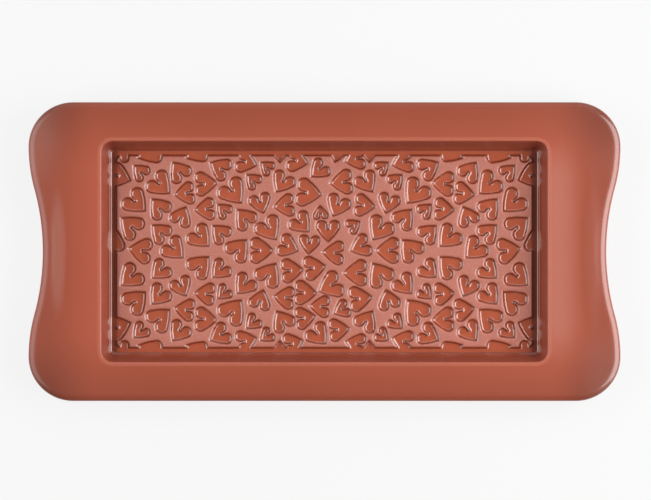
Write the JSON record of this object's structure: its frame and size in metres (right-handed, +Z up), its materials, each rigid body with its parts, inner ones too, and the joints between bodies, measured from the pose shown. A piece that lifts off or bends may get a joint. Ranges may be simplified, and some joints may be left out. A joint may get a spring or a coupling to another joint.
{
  "type": "chocolate bar mould",
  "caption": "Flexible mould that casts a chocolate bar with scattered hearts on its face, held in a wide rim with drawn-in ends and a turned-down skirt.",
  "frame": {"origin": "on the surface the mould stands on, under the middle of its outline", "axes": "+X along the bar, +Y across it, +Z up, out of the open cavity"},
  "size_m": [0.213, 0.1076, 0.0113],
  "materials": {
    "silicone": "satin"
  },
  "bodies": {
    "root": {"mould": "silicone"}
  },
  "joints": []
}
